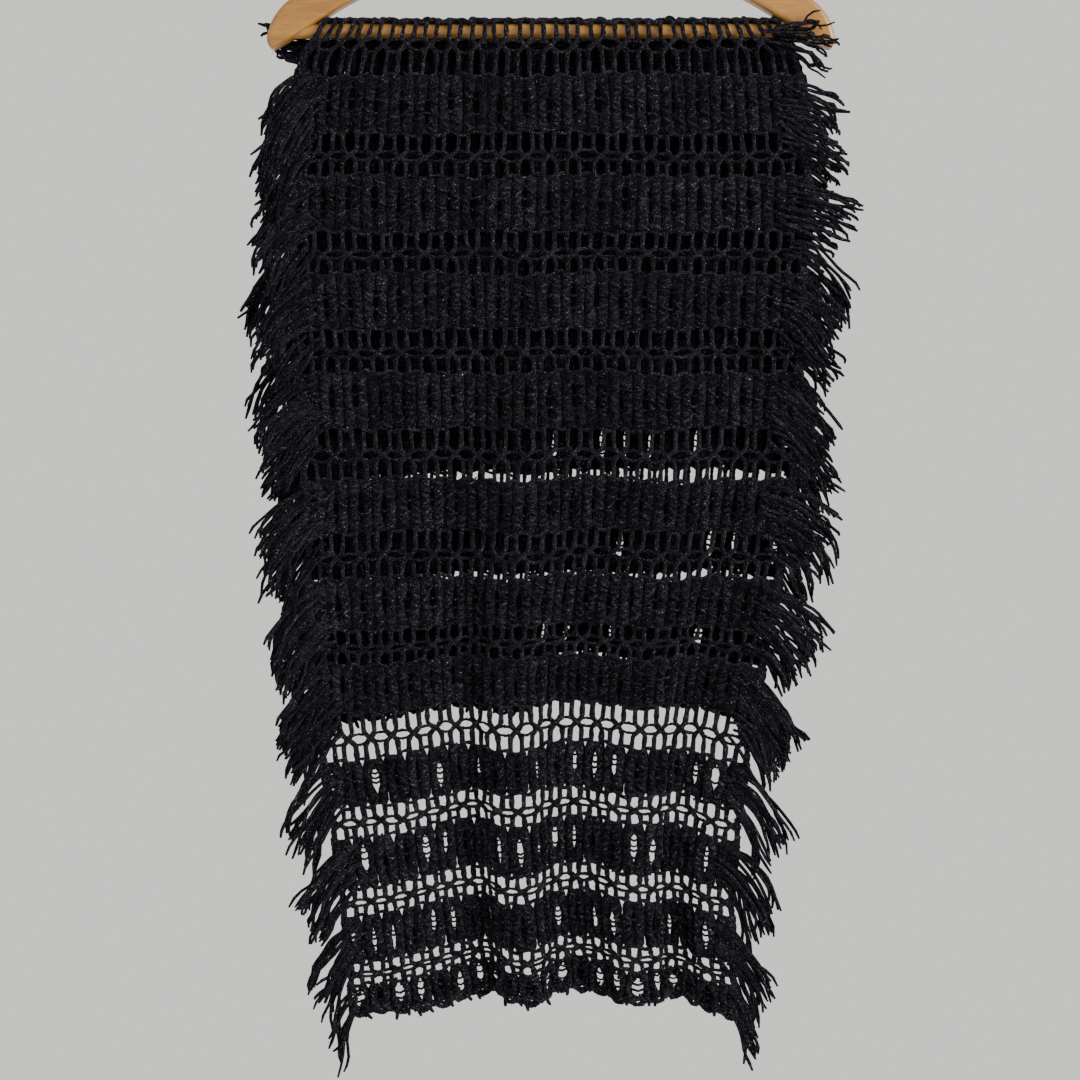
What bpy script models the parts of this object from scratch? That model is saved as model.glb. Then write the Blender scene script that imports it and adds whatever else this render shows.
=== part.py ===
"""A black crochet shawl, folded over the round bar of a wooden coat hanger.

Metres, +Z up, the shawl's front towards -Y and its width along X. The origin is the top of the
inside of the hook, where the rail that carries the hanger touches it. The long fall of the shawl
hangs in front of the bar and the short one behind it, and both have bands of thick oval
stitches with open rows between them, and a bunch of loose yarn at each end of every band.
"""

import math
from collections import namedtuple

import bmesh
import bpy
from mathutils import Vector

# Hanger
BAR_DROP = 0.196  # from the origin down to the axis of the bar
BAR_RADIUS = 0.006
BAR_HALF_LENGTH = 0.209
BAR_SIDES = 16
ARM_THICKNESS = 0.017
ARM_ROUNDING = 0.004
HOOK_WIRE_RADIUS = 0.00175
HOOK_INNER_RADIUS = 0.020
HOOK_FOOT_ANGLE = -55.0  # degrees round the bend, where the wire leaves it for the shank
HOOK_TIP_ANGLE = 188.0  # where the open tip ends
HOOK_STEPS = 14
WIRE_SIDES = 8
SHANK_DEPTH = 0.022  # of the bore in the neck
SHANK_RISE = 0.004  # of the straight shank above the neck
SWEEP = 0.3  # how far across the wire is, half way from the shank to the bend
CLEARANCE = 0.0003

# Shawl
TURN_RADIUS = 0.0066  # the inside of the cloth, where it turns over the bar
TURN_STEPS = 6
WALL = 0.0018
RELIEF = 0.0012  # how far the oval stitches stand out from the plain wall
RELIEF_AT_ENDS = 0.35  # share of the relief at the ends of the ovals
RELIEF_BETWEEN = 0.1  # and between two ovals
REPEATS = 21
CLOTH_WIDTH = 0.39  # lying flat
FRONT_LENGTH = 0.7725  # from the axis of the bar to the hem
GAP_HALF_SHARE = 0.19  # half of a long gap's width, as a share of one repeat
GAP_HEIGHT_SHARE = 0.40  # a gap's height, as a share of the open rows between two bands
SEE_THROUGH_BANDS = 4  # open bands below the short fall, each cut twice
FOLD_DEPTH = 0.012
FOLD_GROWTH = 1.3  # power of the height with which the folds deepen
FOLD_DROOP = 0.007  # how much lower the hem is at the front of a fold
STEEPEST = 0.25  # least share of its flat width that cloth in the flank of a fold takes up
HEM_SCALLOP = 0.004
BACK_COLUMNS = 22
UPPER_ROWS = (0.010, 0.024)  # where the side edges swing out below the bar

# Fringe
STRIP_GAP = 0.0005
STRIP_WIDTH = 0.0045
STRIP_THICKNESS = 0.0024
STRIP_OVERHANG = 0.001  # of a front strip above the bar's axis; a back one starts as far below
LOCK_RADIUS = 0.0013
TIP_SCALE = 0.7
KNEE_REACH = 0.66  # where a lock bends, as shares of its reach and its fall
KNEE_FALL = 0.26
TIP_SPREAD = 1.2  # how far a tip stands off the fall, as a share of the knee's distance
LOCK_SPREAD = 0.0012  # between the locks of a bunch, off the fall
FORWARD_BUNCH = 0.0045  # how far the bunch at the bar stands off the cloth, to pass the arm

# Half of the arms' outline, from the neck round the tip to the middle of the lower edge
Outline = namedtuple("Outline", "across above_bar")
ARM_OUTLINE = [
    Outline(0.0125, 0.121),
    Outline(0.0140, 0.112),
    Outline(0.0220, 0.102),
    Outline(0.0500, 0.096),
    Outline(0.1000, 0.078),
    Outline(0.1500, 0.053),
    Outline(0.1900, 0.033),
    Outline(0.2050, 0.024),
    Outline(0.2155, 0.013),
    Outline(0.2215, 0.000),
    Outline(0.2225, -0.009),
    Outline(0.2190, -0.0140),
    Outline(0.2140, -0.0125),
    Outline(0.1800, 0.0085),
    Outline(0.1525, 0.0248),
    Outline(0.1000, 0.0500),
    Outline(0.0500, 0.0690),
    Outline(0.0000, 0.0760),
]

# Side edges of the cloth, down from the axis of the bar
Edge = namedtuple("Edge", "drop left right")
EDGES = [
    Edge(-0.010, -0.1755, 0.1755),
    Edge(0.004, -0.1860, 0.1860),
    Edge(0.024, -0.1990, 0.1960),
    Edge(0.075, -0.2050, 0.2025),
    Edge(0.140, -0.2080, 0.2045),
    Edge(0.211, -0.2055, 0.1995),
    Edge(0.290, -0.2000, 0.1965),
    Edge(0.368, -0.1955, 0.1900),
    Edge(0.447, -0.1930, 0.1780),
    Edge(0.525, -0.1880, 0.1630),
    Edge(0.604, -0.1760, 0.1510),
    Edge(0.683, -0.1650, 0.1440),
    Edge(0.780, -0.1560, 0.1485),
]

# Folds across the cloth: 1 is nearest the front, and they deepen towards the hem
Fold = namedtuple("Fold", "share near")
FOLDS = [
    Fold(0.000, 0.60),
    Fold(0.100, 0.45),
    Fold(0.200, -0.10),
    Fold(0.270, -0.75),
    Fold(0.345, -0.90),
    Fold(0.410, 0.75),
    Fold(0.470, 0.95),
    Fold(0.530, -0.50),
    Fold(0.590, -0.95),
    Fold(0.650, -0.35),
    Fold(0.720, 0.80),
    Fold(0.780, 0.35),
    Fold(0.830, -0.65),
    Fold(0.875, -0.50),
    Fold(0.930, 0.60),
    Fold(1.000, 0.75),
]

# Bands of oval stitches: middle and half height, then how far the yarn at each end reaches and falls
Band = namedtuple("Band", "drop half left_reach left_fall right_reach right_fall")
FRONT_BANDS = [
    Band(0.059, 0.0215, 0.028, 0.060, 0.030, 0.014),
    Band(0.137, 0.0205, 0.026, 0.030, 0.043, 0.012),
    Band(0.213, 0.0205, 0.027, 0.022, 0.027, 0.030),
    Band(0.291, 0.0205, 0.034, 0.034, 0.031, 0.034),
    Band(0.373, 0.0195, 0.034, 0.042, 0.037, 0.022),
    Band(0.451, 0.0190, 0.029, 0.042, 0.042, 0.030),
    Band(0.517, 0.0180, 0.027, 0.040, 0.032, 0.050),
    Band(0.587, 0.0175, 0.028, 0.048, 0.036, 0.048),
    Band(0.652, 0.0170, 0.029, 0.040, 0.028, 0.048),
    Band(0.714, 0.0165, 0.028, 0.040, 0.034, 0.044),
    Band(0.761, 0.0115, 0.016, 0.050, 0.018, 0.048),
]
BACK_BANDS = [
    Band(0.0100, 0.0190, 0.040, -0.014, 0.000, 0.000),
    Band(0.0935, 0.0215, 0.028, 0.040, 0.034, 0.014),
    Band(0.1735, 0.0210, 0.042, 0.050, 0.040, 0.048),
    Band(0.2510, 0.0205, 0.036, 0.055, 0.030, 0.024),
    Band(0.3205, 0.0190, 0.028, 0.045, 0.040, 0.044),
    Band(0.3820, 0.0185, 0.033, 0.042, 0.034, 0.052),
    Band(0.4475, 0.0180, 0.026, 0.052, 0.035, 0.050),
    Band(0.5150, 0.0180, 0.024, 0.050, 0.028, 0.058),
]
# The bunch at the fold, flipped over the front of the right arm
FLIPPED = Band(0.006, 0.016, 0.0, 0.0, 0.031, -0.012)

# Yarn locks of one bunch, from its top to its bottom: root as a share of the band's half height
Lock = namedtuple("Lock", "root reach fall")
LOCKS = [
    Lock(0.50, 1.00, 0.90),
    Lock(0.17, 0.86, 1.02),
    Lock(-0.17, 0.70, 0.95),
    Lock(-0.50, 0.48, 0.85),
]
FLIPPED_LOCKS = [
    Lock(0.25, 0.80, 1.30),
    Lock(0.06, 1.00, 0.10),
    Lock(-0.16, 0.85, -1.00),
    Lock(-0.38, 0.50, -1.60),
]

COLOURS = {
    "yarn": (0.012, 0.012, 0.016, 1.0),
    "wood": (0.72, 0.44, 0.20, 1.0),
    "metal": (0.62, 0.62, 0.60, 1.0),
}


def clear_scene():
    """Remove whatever the file opened with."""
    for thing in list(bpy.data.objects):
        bpy.data.objects.remove(thing)


def new_collection(name):
    """Make a collection in the scene."""
    collection = bpy.data.collections.new(name)
    bpy.context.scene.collection.children.link(collection)
    return collection


def new_material(name, roughness, metallic):
    """Make a plain material of a named colour."""
    material = bpy.data.materials.new(name)
    material.use_nodes = True
    shader = material.node_tree.nodes["Principled BSDF"]
    shader.inputs["Base Color"].default_value = COLOURS[name]
    shader.inputs["Roughness"].default_value = roughness
    shader.inputs["Metallic"].default_value = metallic
    material.diffuse_color = COLOURS[name]
    return material


def read_table(rows, at, column):
    """Read a smooth curve through one column of a table, by its first column."""
    keys = [row[0] for row in rows]
    values = [getattr(row, column) for row in rows]
    at = min(max(at, keys[0]), keys[-1])
    place = max(i for i in range(len(keys) - 1) if keys[i] <= at)

    def slope(i):
        low = max(i - 1, 0)
        high = min(i + 1, len(keys) - 1)
        return (values[high] - values[low]) / (keys[high] - keys[low])

    span = keys[place + 1] - keys[place]
    t = (at - keys[place]) / span
    start = (2 * t**3 - 3 * t**2 + 1) * values[place] + (t**3 - 2 * t**2 + t) * span * slope(place)
    end = (3 * t**2 - 2 * t**3) * values[place + 1] + (t**3 - t**2) * span * slope(place + 1)
    return start + end


def fold_growth(drop):
    """Say how deep the folds are at a height: 0 at the bar, 1 at the front hem."""
    return max(0.0, min(1.0, drop / FRONT_LENGTH)) ** FOLD_GROWTH


def places_across(shares, drop):
    """Give x for shares of the cloth's width, closer together where the folds turn it edge on."""
    steps = 4 * REPEATS
    depth = FOLD_DEPTH * fold_growth(drop) / CLOTH_WIDTH
    heights = [read_table(FOLDS, i / steps, "near") * depth * steps for i in range(steps + 1)]
    run = [0.0]
    for low, high in zip(heights, heights[1:]):
        run.append(run[-1] + math.sqrt(max(1.0 - (high - low) ** 2, STEEPEST**2)))
    left = read_table(EDGES, drop, "left")
    right = read_table(EDGES, drop, "right")
    places = []
    for share in shares:
        step = min(int(share * steps), steps - 1)
        part = share * steps - step
        along = run[step] + part * (run[step + 1] - run[step])
        places.append(left + (right - left) * along / run[-1])
    return places


def cloth_row(shares, drop, side, shifts=None):
    """Give the points of one row on the inside of a fall: side is -1 in front, 1 behind."""
    points = []
    for number, (share, across) in enumerate(zip(shares, places_across(shares, drop))):
        near = read_table(FOLDS, share, "near") * fold_growth(drop)
        low = drop + FOLD_DROOP * near
        if shifts:
            low += shifts[number]
        points.append(Vector((across, side * TURN_RADIUS - FOLD_DEPTH * near, -BAR_DROP - low)))
    return points


def turn_row(shares, angle):
    """Give the points of one row on the turn over the bar: angle 0 is the front, 180 the back."""
    rise = TURN_RADIUS * math.sin(math.radians(angle))
    away = -TURN_RADIUS * math.cos(math.radians(angle))
    return [Vector((across, away, rise - BAR_DROP)) for across in places_across(shares, -rise)]


def gap_shares():
    """Give the shares of the width at both sides of every long gap, with the two edges."""
    shares = [0.0]
    for number in range(REPEATS):
        shares.append((number + 0.5 - GAP_HALF_SHARE) / REPEATS)
        shares.append((number + 0.5 + GAP_HALF_SHARE) / REPEATS)
    return shares + [1.0]


def oval_shares():
    """Give the shares of the width at the middle of every oval and between two ovals."""
    return [0.0] + [number / (2 * REPEATS) for number in range(1, 2 * REPEATS)] + [1.0]


def is_oval(share):
    """Say whether a share lies at the middle of an oval."""
    return round(share * 2 * REPEATS) % 2 == 1


class Wall:
    """An open sheet built row by row, each point with its own thickness."""

    def __init__(self, flip):
        self.mesh = bmesh.new()
        self.weights = []
        self.last = None
        self.flip = flip

    def add_row(self, shares, points, thickness, gaps=False):
        """Add a row and join it to the one before, leaving every second span open for gaps."""
        row = []
        for number, point in enumerate(points):
            row.append(self.mesh.verts.new(point))
            self.weights.append(thickness[number] / (WALL + RELIEF))
        if self.last:
            self.join(self.last, (shares, row), gaps)
        self.last = (shares, row)

    def join(self, upper, lower, gaps):
        """Join two rows, which may have different numbers of points."""
        i = j = 0
        while i < len(upper[0]) - 1 or j < len(lower[0]) - 1:
            next_upper = upper[0][i + 1] if i < len(upper[0]) - 1 else 2.0
            next_lower = lower[0][j + 1] if j < len(lower[0]) - 1 else 2.0
            corners = [upper[1][i], lower[1][j]]
            if next_lower <= next_upper + 1e-6:
                j += 1
                corners.append(lower[1][j])
            if next_upper <= next_lower + 1e-6:
                i += 1
                corners.append(upper[1][i])
            if gaps and i % 2 == 0 and len(corners) == 4:
                continue
            self.mesh.faces.new(corners[::-1] if self.flip else corners)

    def finish(self, name, material, collection):
        """Make the object and give the sheet its thickness, outwards only."""
        data = bpy.data.meshes.new(name)
        self.mesh.to_mesh(data)
        self.mesh.free()
        thing = bpy.data.objects.new(name, data)
        collection.objects.link(thing)
        data.materials.append(material)
        group = thing.vertex_groups.new(name="thickness")
        for number, weight in enumerate(self.weights):
            group.add([number], weight, "REPLACE")
        shell = thing.modifiers.new("Wall", "SOLIDIFY")
        shell.thickness = WALL + RELIEF
        shell.offset = 1.0
        shell.vertex_group = "thickness"
        return thing


def add_band(wall, band, side, gaps_above, is_hem):
    """Add the rows of one band of ovals: its middle stands out at each oval."""
    edge_shares = gap_shares()
    middle_shares = oval_shares()
    edge_wall = [WALL + RELIEF_AT_ENDS * RELIEF] * len(edge_shares)
    middle_wall = [WALL + RELIEF * (1.0 if is_oval(share) else RELIEF_BETWEEN) for share in middle_shares]
    top = cloth_row(edge_shares, band.drop - band.half, side)
    wall.add_row(edge_shares, top, edge_wall, gaps_above)
    wall.add_row(middle_shares, cloth_row(middle_shares, band.drop, side), middle_wall)
    if is_hem:
        scallops = [0.0 if is_oval(share) else -HEM_SCALLOP for share in middle_shares]
        hem = cloth_row(middle_shares, band.drop + band.half, side, scallops)
        wall.add_row(middle_shares, hem, [WALL] * len(middle_shares))
    else:
        wall.add_row(edge_shares, cloth_row(edge_shares, band.drop + band.half, side), edge_wall)


def add_front(material, collection):
    """Build the long fall in front, with its turn over the bar and the gaps of its open rows."""
    wall = Wall(flip=False)
    repeat_shares = [number / REPEATS for number in range(REPEATS + 1)]
    plain = [WALL] * (2 * REPEATS + 2)
    for step in range(TURN_STEPS + 1):
        angle = 180.0 - 180.0 * step / TURN_STEPS
        wall.add_row(repeat_shares, turn_row(repeat_shares, angle), plain)
    for drop in UPPER_ROWS:
        wall.add_row(repeat_shares, cloth_row(repeat_shares, drop, -1), plain)
    shares = gap_shares()
    first_see_through = len(FRONT_BANDS) - 1 - SEE_THROUGH_BANDS
    for number, band in enumerate(FRONT_BANDS):
        is_hem = band is FRONT_BANDS[-1]
        add_band(wall, band, -1, number > first_see_through, is_hem)
        if is_hem:
            break
        top = band.drop + band.half
        bottom = FRONT_BANDS[number + 1].drop - FRONT_BANDS[number + 1].half
        height = GAP_HEIGHT_SHARE * (bottom - top)
        wall.add_row(shares, cloth_row(shares, top + height, -1), plain, gaps=True)
        if number >= first_see_through:
            wall.add_row(shares, cloth_row(shares, bottom - height, -1), plain)
    return wall.finish("front_fall", material, collection)


def add_back(material, collection):
    """Build the short fall behind the bar."""
    wall = Wall(flip=True)
    shares = [number / BACK_COLUMNS for number in range(BACK_COLUMNS + 1)]
    thin = [WALL] * len(shares)
    thick = [WALL + RELIEF] * len(shares)
    wall.add_row(shares, cloth_row(shares, CLEARANCE, 1), thin)
    for number, band in enumerate(BACK_BANDS):
        wall.add_row(shares, cloth_row(shares, band.drop, 1), thick)
        if number == 0:
            wall.add_row(shares, cloth_row(shares, UPPER_ROWS[1], 1), thick)
        if number < len(BACK_BANDS) - 1:
            middle = open_middle(band, BACK_BANDS[number + 1])
            wall.add_row(shares, cloth_row(shares, middle, 1), thin)
    last = BACK_BANDS[-1]
    wall.add_row(shares, cloth_row(shares, last.drop + last.half, 1), thin)
    return wall.finish("back_fall", material, collection)


def open_middle(upper, lower):
    """Give the height of the middle of the open rows between two bands."""
    return (upper.drop + upper.half + lower.drop - lower.half) / 2


def front_strip_drops():
    """Give the heights of the sections of a strip beside the long fall: those of its wall."""
    drops = [-STRIP_OVERHANG, *UPPER_ROWS]
    for band in FRONT_BANDS:
        drops += [band.drop - band.half, band.drop]
        if band is not FRONT_BANDS[-1]:
            drops.append(band.drop + band.half)
    return drops + [FRONT_BANDS[-1].drop + FRONT_BANDS[-1].half - HEM_SCALLOP]


def back_strip_drops():
    """Give the heights of the sections of a strip beside the short fall: those of its wall."""
    drops = [STRIP_OVERHANG, *UPPER_ROWS]
    for upper, lower in zip(BACK_BANDS, BACK_BANDS[1:]):
        drops += [open_middle(upper, lower), lower.drop]
    return drops + [BACK_BANDS[-1].drop + BACK_BANDS[-1].half]


def add_strip(name, side, end, drops, material, collection):
    """Build the narrow strip beside a cloth edge: side is the fall, end is -1 left or 1 right."""
    wall = Wall(flip=side > 0)
    share = 0.0 if end < 0 else 1.0
    weight = [STRIP_THICKNESS] * 2
    for drop in drops:
        at_edge = cloth_row([share], drop, side)[0]
        near = at_edge + Vector((end * STRIP_GAP, 0.0, 0.0))
        far = at_edge + Vector((end * (STRIP_GAP + STRIP_WIDTH), 0.0, 0.0))
        wall.add_row([0.0, 1.0], [far, near] if end < 0 else [near, far], weight)
    return wall.finish(name, material, collection)


def bunch_paths(band, locks, side, end, forward):
    """Give the path of each lock of one bunch: root inside the strip, knee and tip."""
    share = 0.0 if end < 0 else 1.0
    reach = band.left_reach if end < 0 else band.right_reach
    fall = band.left_fall if end < 0 else band.right_fall
    paths = []
    for number, lock in enumerate(locks):
        root = cloth_row([share], band.drop - lock.root * band.half, side)[0]
        root.x += end * (STRIP_GAP + 0.5 * STRIP_WIDTH)
        root.y += side * 0.5 * STRIP_THICKNESS
        spread = side * (forward + LOCK_SPREAD * (number % 2))
        out = end * reach * lock.reach
        down = -fall * lock.fall
        knee = root + Vector((KNEE_REACH * out, spread, KNEE_FALL * down))
        tip = root + Vector((out, TIP_SPREAD * spread, down))
        paths.append([root, knee, tip])
    return paths


def add_locks(name, paths, profile, cutters):
    """Make one mesh of all the locks of a fringe, from three-sided curves that taper."""
    curve = bpy.data.curves.new(name, "CURVE")
    curve.dimensions = "3D"
    curve.bevel_mode = "OBJECT"
    curve.bevel_object = profile
    curve.use_fill_caps = True
    for path in paths:
        spline = curve.splines.new("POLY")
        spline.points.add(len(path) - 1)
        for number, (point, place) in enumerate(zip(spline.points, path)):
            point.co = (*place, 1.0)
            point.radius = 1.0 - (1.0 - TIP_SCALE) * number / (len(path) - 1)
    source = bpy.data.objects.new(name + "_curve", curve)
    cutters.objects.link(source)
    return mesh_from_curve(source, name, cutters)


def mesh_from_curve(source, name, collection):
    """Turn a curve object into a closed mesh object, and remove the curve."""
    bpy.context.view_layer.update()
    evaluated = source.evaluated_get(bpy.context.evaluated_depsgraph_get())
    data = bpy.data.meshes.new_from_object(evaluated)
    welded = bmesh.new()
    welded.from_mesh(data)
    bmesh.ops.remove_doubles(welded, verts=welded.verts, dist=0.00001)
    bmesh.ops.recalc_face_normals(welded, faces=welded.faces)
    welded.to_mesh(data)
    welded.free()
    thing = bpy.data.objects.new(name, data)
    thing.matrix_world = source.matrix_world
    collection.objects.link(thing)
    bpy.data.objects.remove(source)
    return thing


def hide_guide(thing):
    """Leave a cutter or a guide out of the model."""
    thing.hide_render = True
    thing.display_type = "WIRE"


def add_boolean(thing, other, operation):
    """Join or cut one object with another."""
    change = thing.modifiers.new(other.name, "BOOLEAN")
    change.operation = operation
    change.solver = "EXACT"
    change.object = other
    hide_guide(other)


def lock_profile(cutters):
    """Make the three-sided section of a lock of yarn."""
    curve = bpy.data.curves.new("lock_profile", "CURVE")
    curve.dimensions = "2D"
    spline = curve.splines.new("POLY")
    spline.points.add(2)
    for number, point in enumerate(spline.points):
        turn = math.radians(90 + 120 * number)
        point.co = (LOCK_RADIUS * math.cos(turn), LOCK_RADIUS * math.sin(turn), 0.0, 1.0)
    spline.use_cyclic_u = True
    profile = bpy.data.objects.new("lock_profile", curve)
    cutters.objects.link(profile)
    hide_guide(profile)
    return profile


def add_fringes(material, collection, cutters):
    """Build the four fringes: a strip beside each edge, with its bunches of locks."""
    profile = lock_profile(cutters)
    falls = ((-1, FRONT_BANDS, front_strip_drops()), (1, BACK_BANDS, back_strip_drops()))
    for side, bands, drops in falls:
        for end in (-1, 1):
            name = ("front" if side < 0 else "back") + ("_left" if end < 0 else "_right") + "_fringe"
            strip = add_strip(name, side, end, drops, material, collection)
            paths = []
            for band in bands:
                if band.right_reach == 0.0 and end > 0:
                    continue
                beside_arm = FORWARD_BUNCH if band is BACK_BANDS[0] else 0.0
                paths += bunch_paths(band, LOCKS, side, end, beside_arm)
            if side < 0 and end > 0:
                paths += bunch_paths(FLIPPED, FLIPPED_LOCKS, side, end, FORWARD_BUNCH)
            add_boolean(strip, add_locks(name + "_locks", paths, profile, cutters), "UNION")


def add_arms(material, collection, cutters):
    """Build the wooden arms in one piece, bored for the bar and for the shank of the hook."""
    curve = bpy.data.curves.new("arms", "CURVE")
    curve.dimensions = "2D"
    curve.fill_mode = "BOTH"
    curve.extrude = ARM_THICKNESS / 2 - ARM_ROUNDING
    curve.bevel_depth = ARM_ROUNDING
    curve.bevel_resolution = 0
    curve.offset = -ARM_ROUNDING
    curve.resolution_u = 2
    right = [(row.across, row.above_bar) for row in ARM_OUTLINE]
    left = [(-across, height) for across, height in reversed(right[:-1])]
    spline = curve.splines.new("BEZIER")
    spline.bezier_points.add(len(right + left) - 1)
    for point, (across, height) in zip(spline.bezier_points, right + left):
        point.co = (across, height, 0.0)
        point.handle_left_type = "AUTO"
        point.handle_right_type = "AUTO"
    spline.use_cyclic_u = True
    source = bpy.data.objects.new("arms_curve", curve)
    source.rotation_euler = (math.pi / 2, 0.0, 0.0)
    source.location = (0.0, 0.0, -BAR_DROP)
    collection.objects.link(source)
    arms = mesh_from_curve(source, "hanger_arms", collection)
    arms.data.materials.clear()
    arms.data.materials.append(material)
    bore = add_rod("bar_bore", BAR_RADIUS + CLEARANCE, 2 * (BAR_HALF_LENGTH + CLEARANCE), cutters)
    add_boolean(arms, bore, "DIFFERENCE")
    neck_top = ARM_OUTLINE[0].above_bar - BAR_DROP
    shank_hole = add_rod("shank_bore", HOOK_WIRE_RADIUS + CLEARANCE, 2 * SHANK_DEPTH, cutters, upright=True)
    shank_hole.location.z = neck_top + CLEARANCE
    add_boolean(arms, shank_hole, "DIFFERENCE")
    return arms


def add_rod(name, radius, length, collection, upright=False):
    """Make a round rod along X at the bar's axis, or an upright one at the middle."""
    rod_mesh = bmesh.new()
    sides = WIRE_SIDES if upright else BAR_SIDES
    bmesh.ops.create_cone(
        rod_mesh, cap_ends=True, segments=sides, radius1=radius, radius2=radius, depth=length
    )
    data = bpy.data.meshes.new(name)
    rod_mesh.to_mesh(data)
    rod_mesh.free()
    rod = bpy.data.objects.new(name, data)
    if not upright:
        rod.rotation_euler = (0.0, math.pi / 2, 0.0)
        rod.location = (0.0, 0.0, -BAR_DROP)
    collection.objects.link(rod)
    return rod


def add_bar(material, collection):
    """Build the round bar that carries the shawl."""
    bar = add_rod("hanger_bar", BAR_RADIUS, 2 * BAR_HALF_LENGTH, collection)
    bar.data.materials.append(material)
    bar.data.shade_smooth()
    bar.data.set_sharp_from_angle(angle=math.radians(40))
    return bar


def add_hook(material, collection):
    """Build the wire hook: its shank in the neck, then a bend back over the shank to its tip."""
    radius = HOOK_INNER_RADIUS + HOOK_WIRE_RADIUS
    neck_top = ARM_OUTLINE[0].above_bar - BAR_DROP
    bend = []
    for step in range(HOOK_STEPS + 1):
        turned = HOOK_FOOT_ANGLE + (HOOK_TIP_ANGLE - HOOK_FOOT_ANGLE) * step / HOOK_STEPS
        angle = math.radians(turned)
        bend.append((radius * math.cos(angle), radius * math.sin(angle) - HOOK_INNER_RADIUS))
    foot_across, foot_height = bend[0]
    shank_top = neck_top + SHANK_RISE
    route = [(0.0, neck_top - SHANK_DEPTH + SHANK_RISE), (0.0, shank_top)]
    route.append((SWEEP * foot_across, (foot_height + shank_top) / 2))
    route += bend
    curve = bpy.data.curves.new("hook", "CURVE")
    curve.dimensions = "3D"
    curve.bevel_depth = HOOK_WIRE_RADIUS
    curve.bevel_resolution = 2
    curve.use_fill_caps = True
    spline = curve.splines.new("POLY")
    spline.points.add(len(route) - 1)
    for point, (across, height) in zip(spline.points, route):
        point.co = (across, 0.0, height, 1.0)
    source = bpy.data.objects.new("hook_curve", curve)
    collection.objects.link(source)
    hook = mesh_from_curve(source, "hook", collection)
    hook.data.materials.append(material)
    hook.data.shade_smooth()
    hook.data.set_sharp_from_angle(angle=math.radians(50))
    return hook


def main():
    """Build the shawl and its hanger."""
    clear_scene()
    parts = new_collection("crochet_shawl_on_hanger")
    cutters = new_collection("cutters")
    yarn = new_material("yarn", 0.95, 0.0)
    wood = new_material("wood", 0.45, 0.0)
    metal = new_material("metal", 0.3, 1.0)
    add_front(yarn, parts)
    add_back(yarn, parts)
    add_fringes(yarn, parts, cutters)
    add_arms(wood, parts, cutters)
    add_bar(wood, parts)
    add_hook(metal, parts)


main()
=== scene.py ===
import math

import bpy
import numpy as np
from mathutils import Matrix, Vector


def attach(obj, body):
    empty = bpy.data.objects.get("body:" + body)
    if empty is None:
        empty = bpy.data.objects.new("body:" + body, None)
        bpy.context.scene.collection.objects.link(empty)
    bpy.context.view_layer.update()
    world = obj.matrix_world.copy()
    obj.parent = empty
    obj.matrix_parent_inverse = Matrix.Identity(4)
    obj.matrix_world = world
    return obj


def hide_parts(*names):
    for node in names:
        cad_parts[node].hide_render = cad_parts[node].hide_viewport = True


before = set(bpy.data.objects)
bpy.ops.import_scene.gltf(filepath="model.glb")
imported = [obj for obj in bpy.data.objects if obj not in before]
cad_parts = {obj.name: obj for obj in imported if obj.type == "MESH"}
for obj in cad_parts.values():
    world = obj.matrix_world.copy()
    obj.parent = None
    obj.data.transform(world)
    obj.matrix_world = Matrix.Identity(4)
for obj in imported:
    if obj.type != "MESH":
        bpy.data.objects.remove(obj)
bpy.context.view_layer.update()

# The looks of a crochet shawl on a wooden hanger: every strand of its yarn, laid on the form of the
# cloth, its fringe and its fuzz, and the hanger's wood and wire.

draw = np.random.default_rng(1907)

MM = 0.001

# The form of the cloth, as in the part
BAR_DROP = 0.196
BAR_RADIUS = 0.006
BAR_HALF_LENGTH = 0.209
TURN_RADIUS = 0.0066
TURN_LENGTH = 0.0236  # of the cloth's middle, over the bar
REPEATS = 21
CLOTH_WIDTH = 0.39
FRONT_LENGTH = 0.7725
BACK_LENGTH = 0.535
FOLD_DEPTH = 0.012
FOLD_GROWTH = 1.3
FOLD_DROOP = 0.004
BUNCHED = 6  # how near to its ends the cloth is gathered on the bar
GATHERED = 0.024  # and down to where
ARCH = 0.011  # how much the rows rise in the middle, on both falls
ARCH_DROP = 0.38  # from where down they do
ARCH_SPAN = 0.18  # over how much more cloth they reach that height
ARCH_MOST = 1.2  # times that height, which the lowest rows have
ARCH_SKEW = 1.3  # over 1, the highest place lies right of the middle
STEEPEST = 0.25  # least share of its flat width that cloth in the flank of a fold takes up

# Side edges of the cloth, in millimetres: how far below the bar, then the left and the right edge
EDGES = MM * np.array([
    (-10, -175.5, 175.5), (4, -186, 186), (24, -199, 196), (75, -205, 202.5), (140, -208, 204.5),
    (211, -205.5, 199.5), (290, -200, 196.5), (368, -195.5, 190), (447, -193, 178), (525, -188, 163),
    (604, -176, 151), (683, -165, 144), (780, -156, 148.5),
])
EDGE_KEYS, EDGE_LEFT, EDGE_RIGHT = EDGES.T

# Folds, as shares of the width, and how near to the front each is at the hem, from 1 to -1
FOLDS = np.array([
    (0, 0.6), (0.1, 0.45), (0.2, -0.1), (0.27, -0.75), (0.345, -0.9), (0.41, 0.75), (0.47, 0.95),
    (0.53, -0.5), (0.59, -0.95), (0.65, -0.35), (0.72, 0.8), (0.78, 0.35), (0.83, -0.65),
    (0.875, -0.5), (0.93, 0.6), (1, 0.75),
])
FOLD_KEYS, FOLD_NEAR = FOLDS.T

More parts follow.
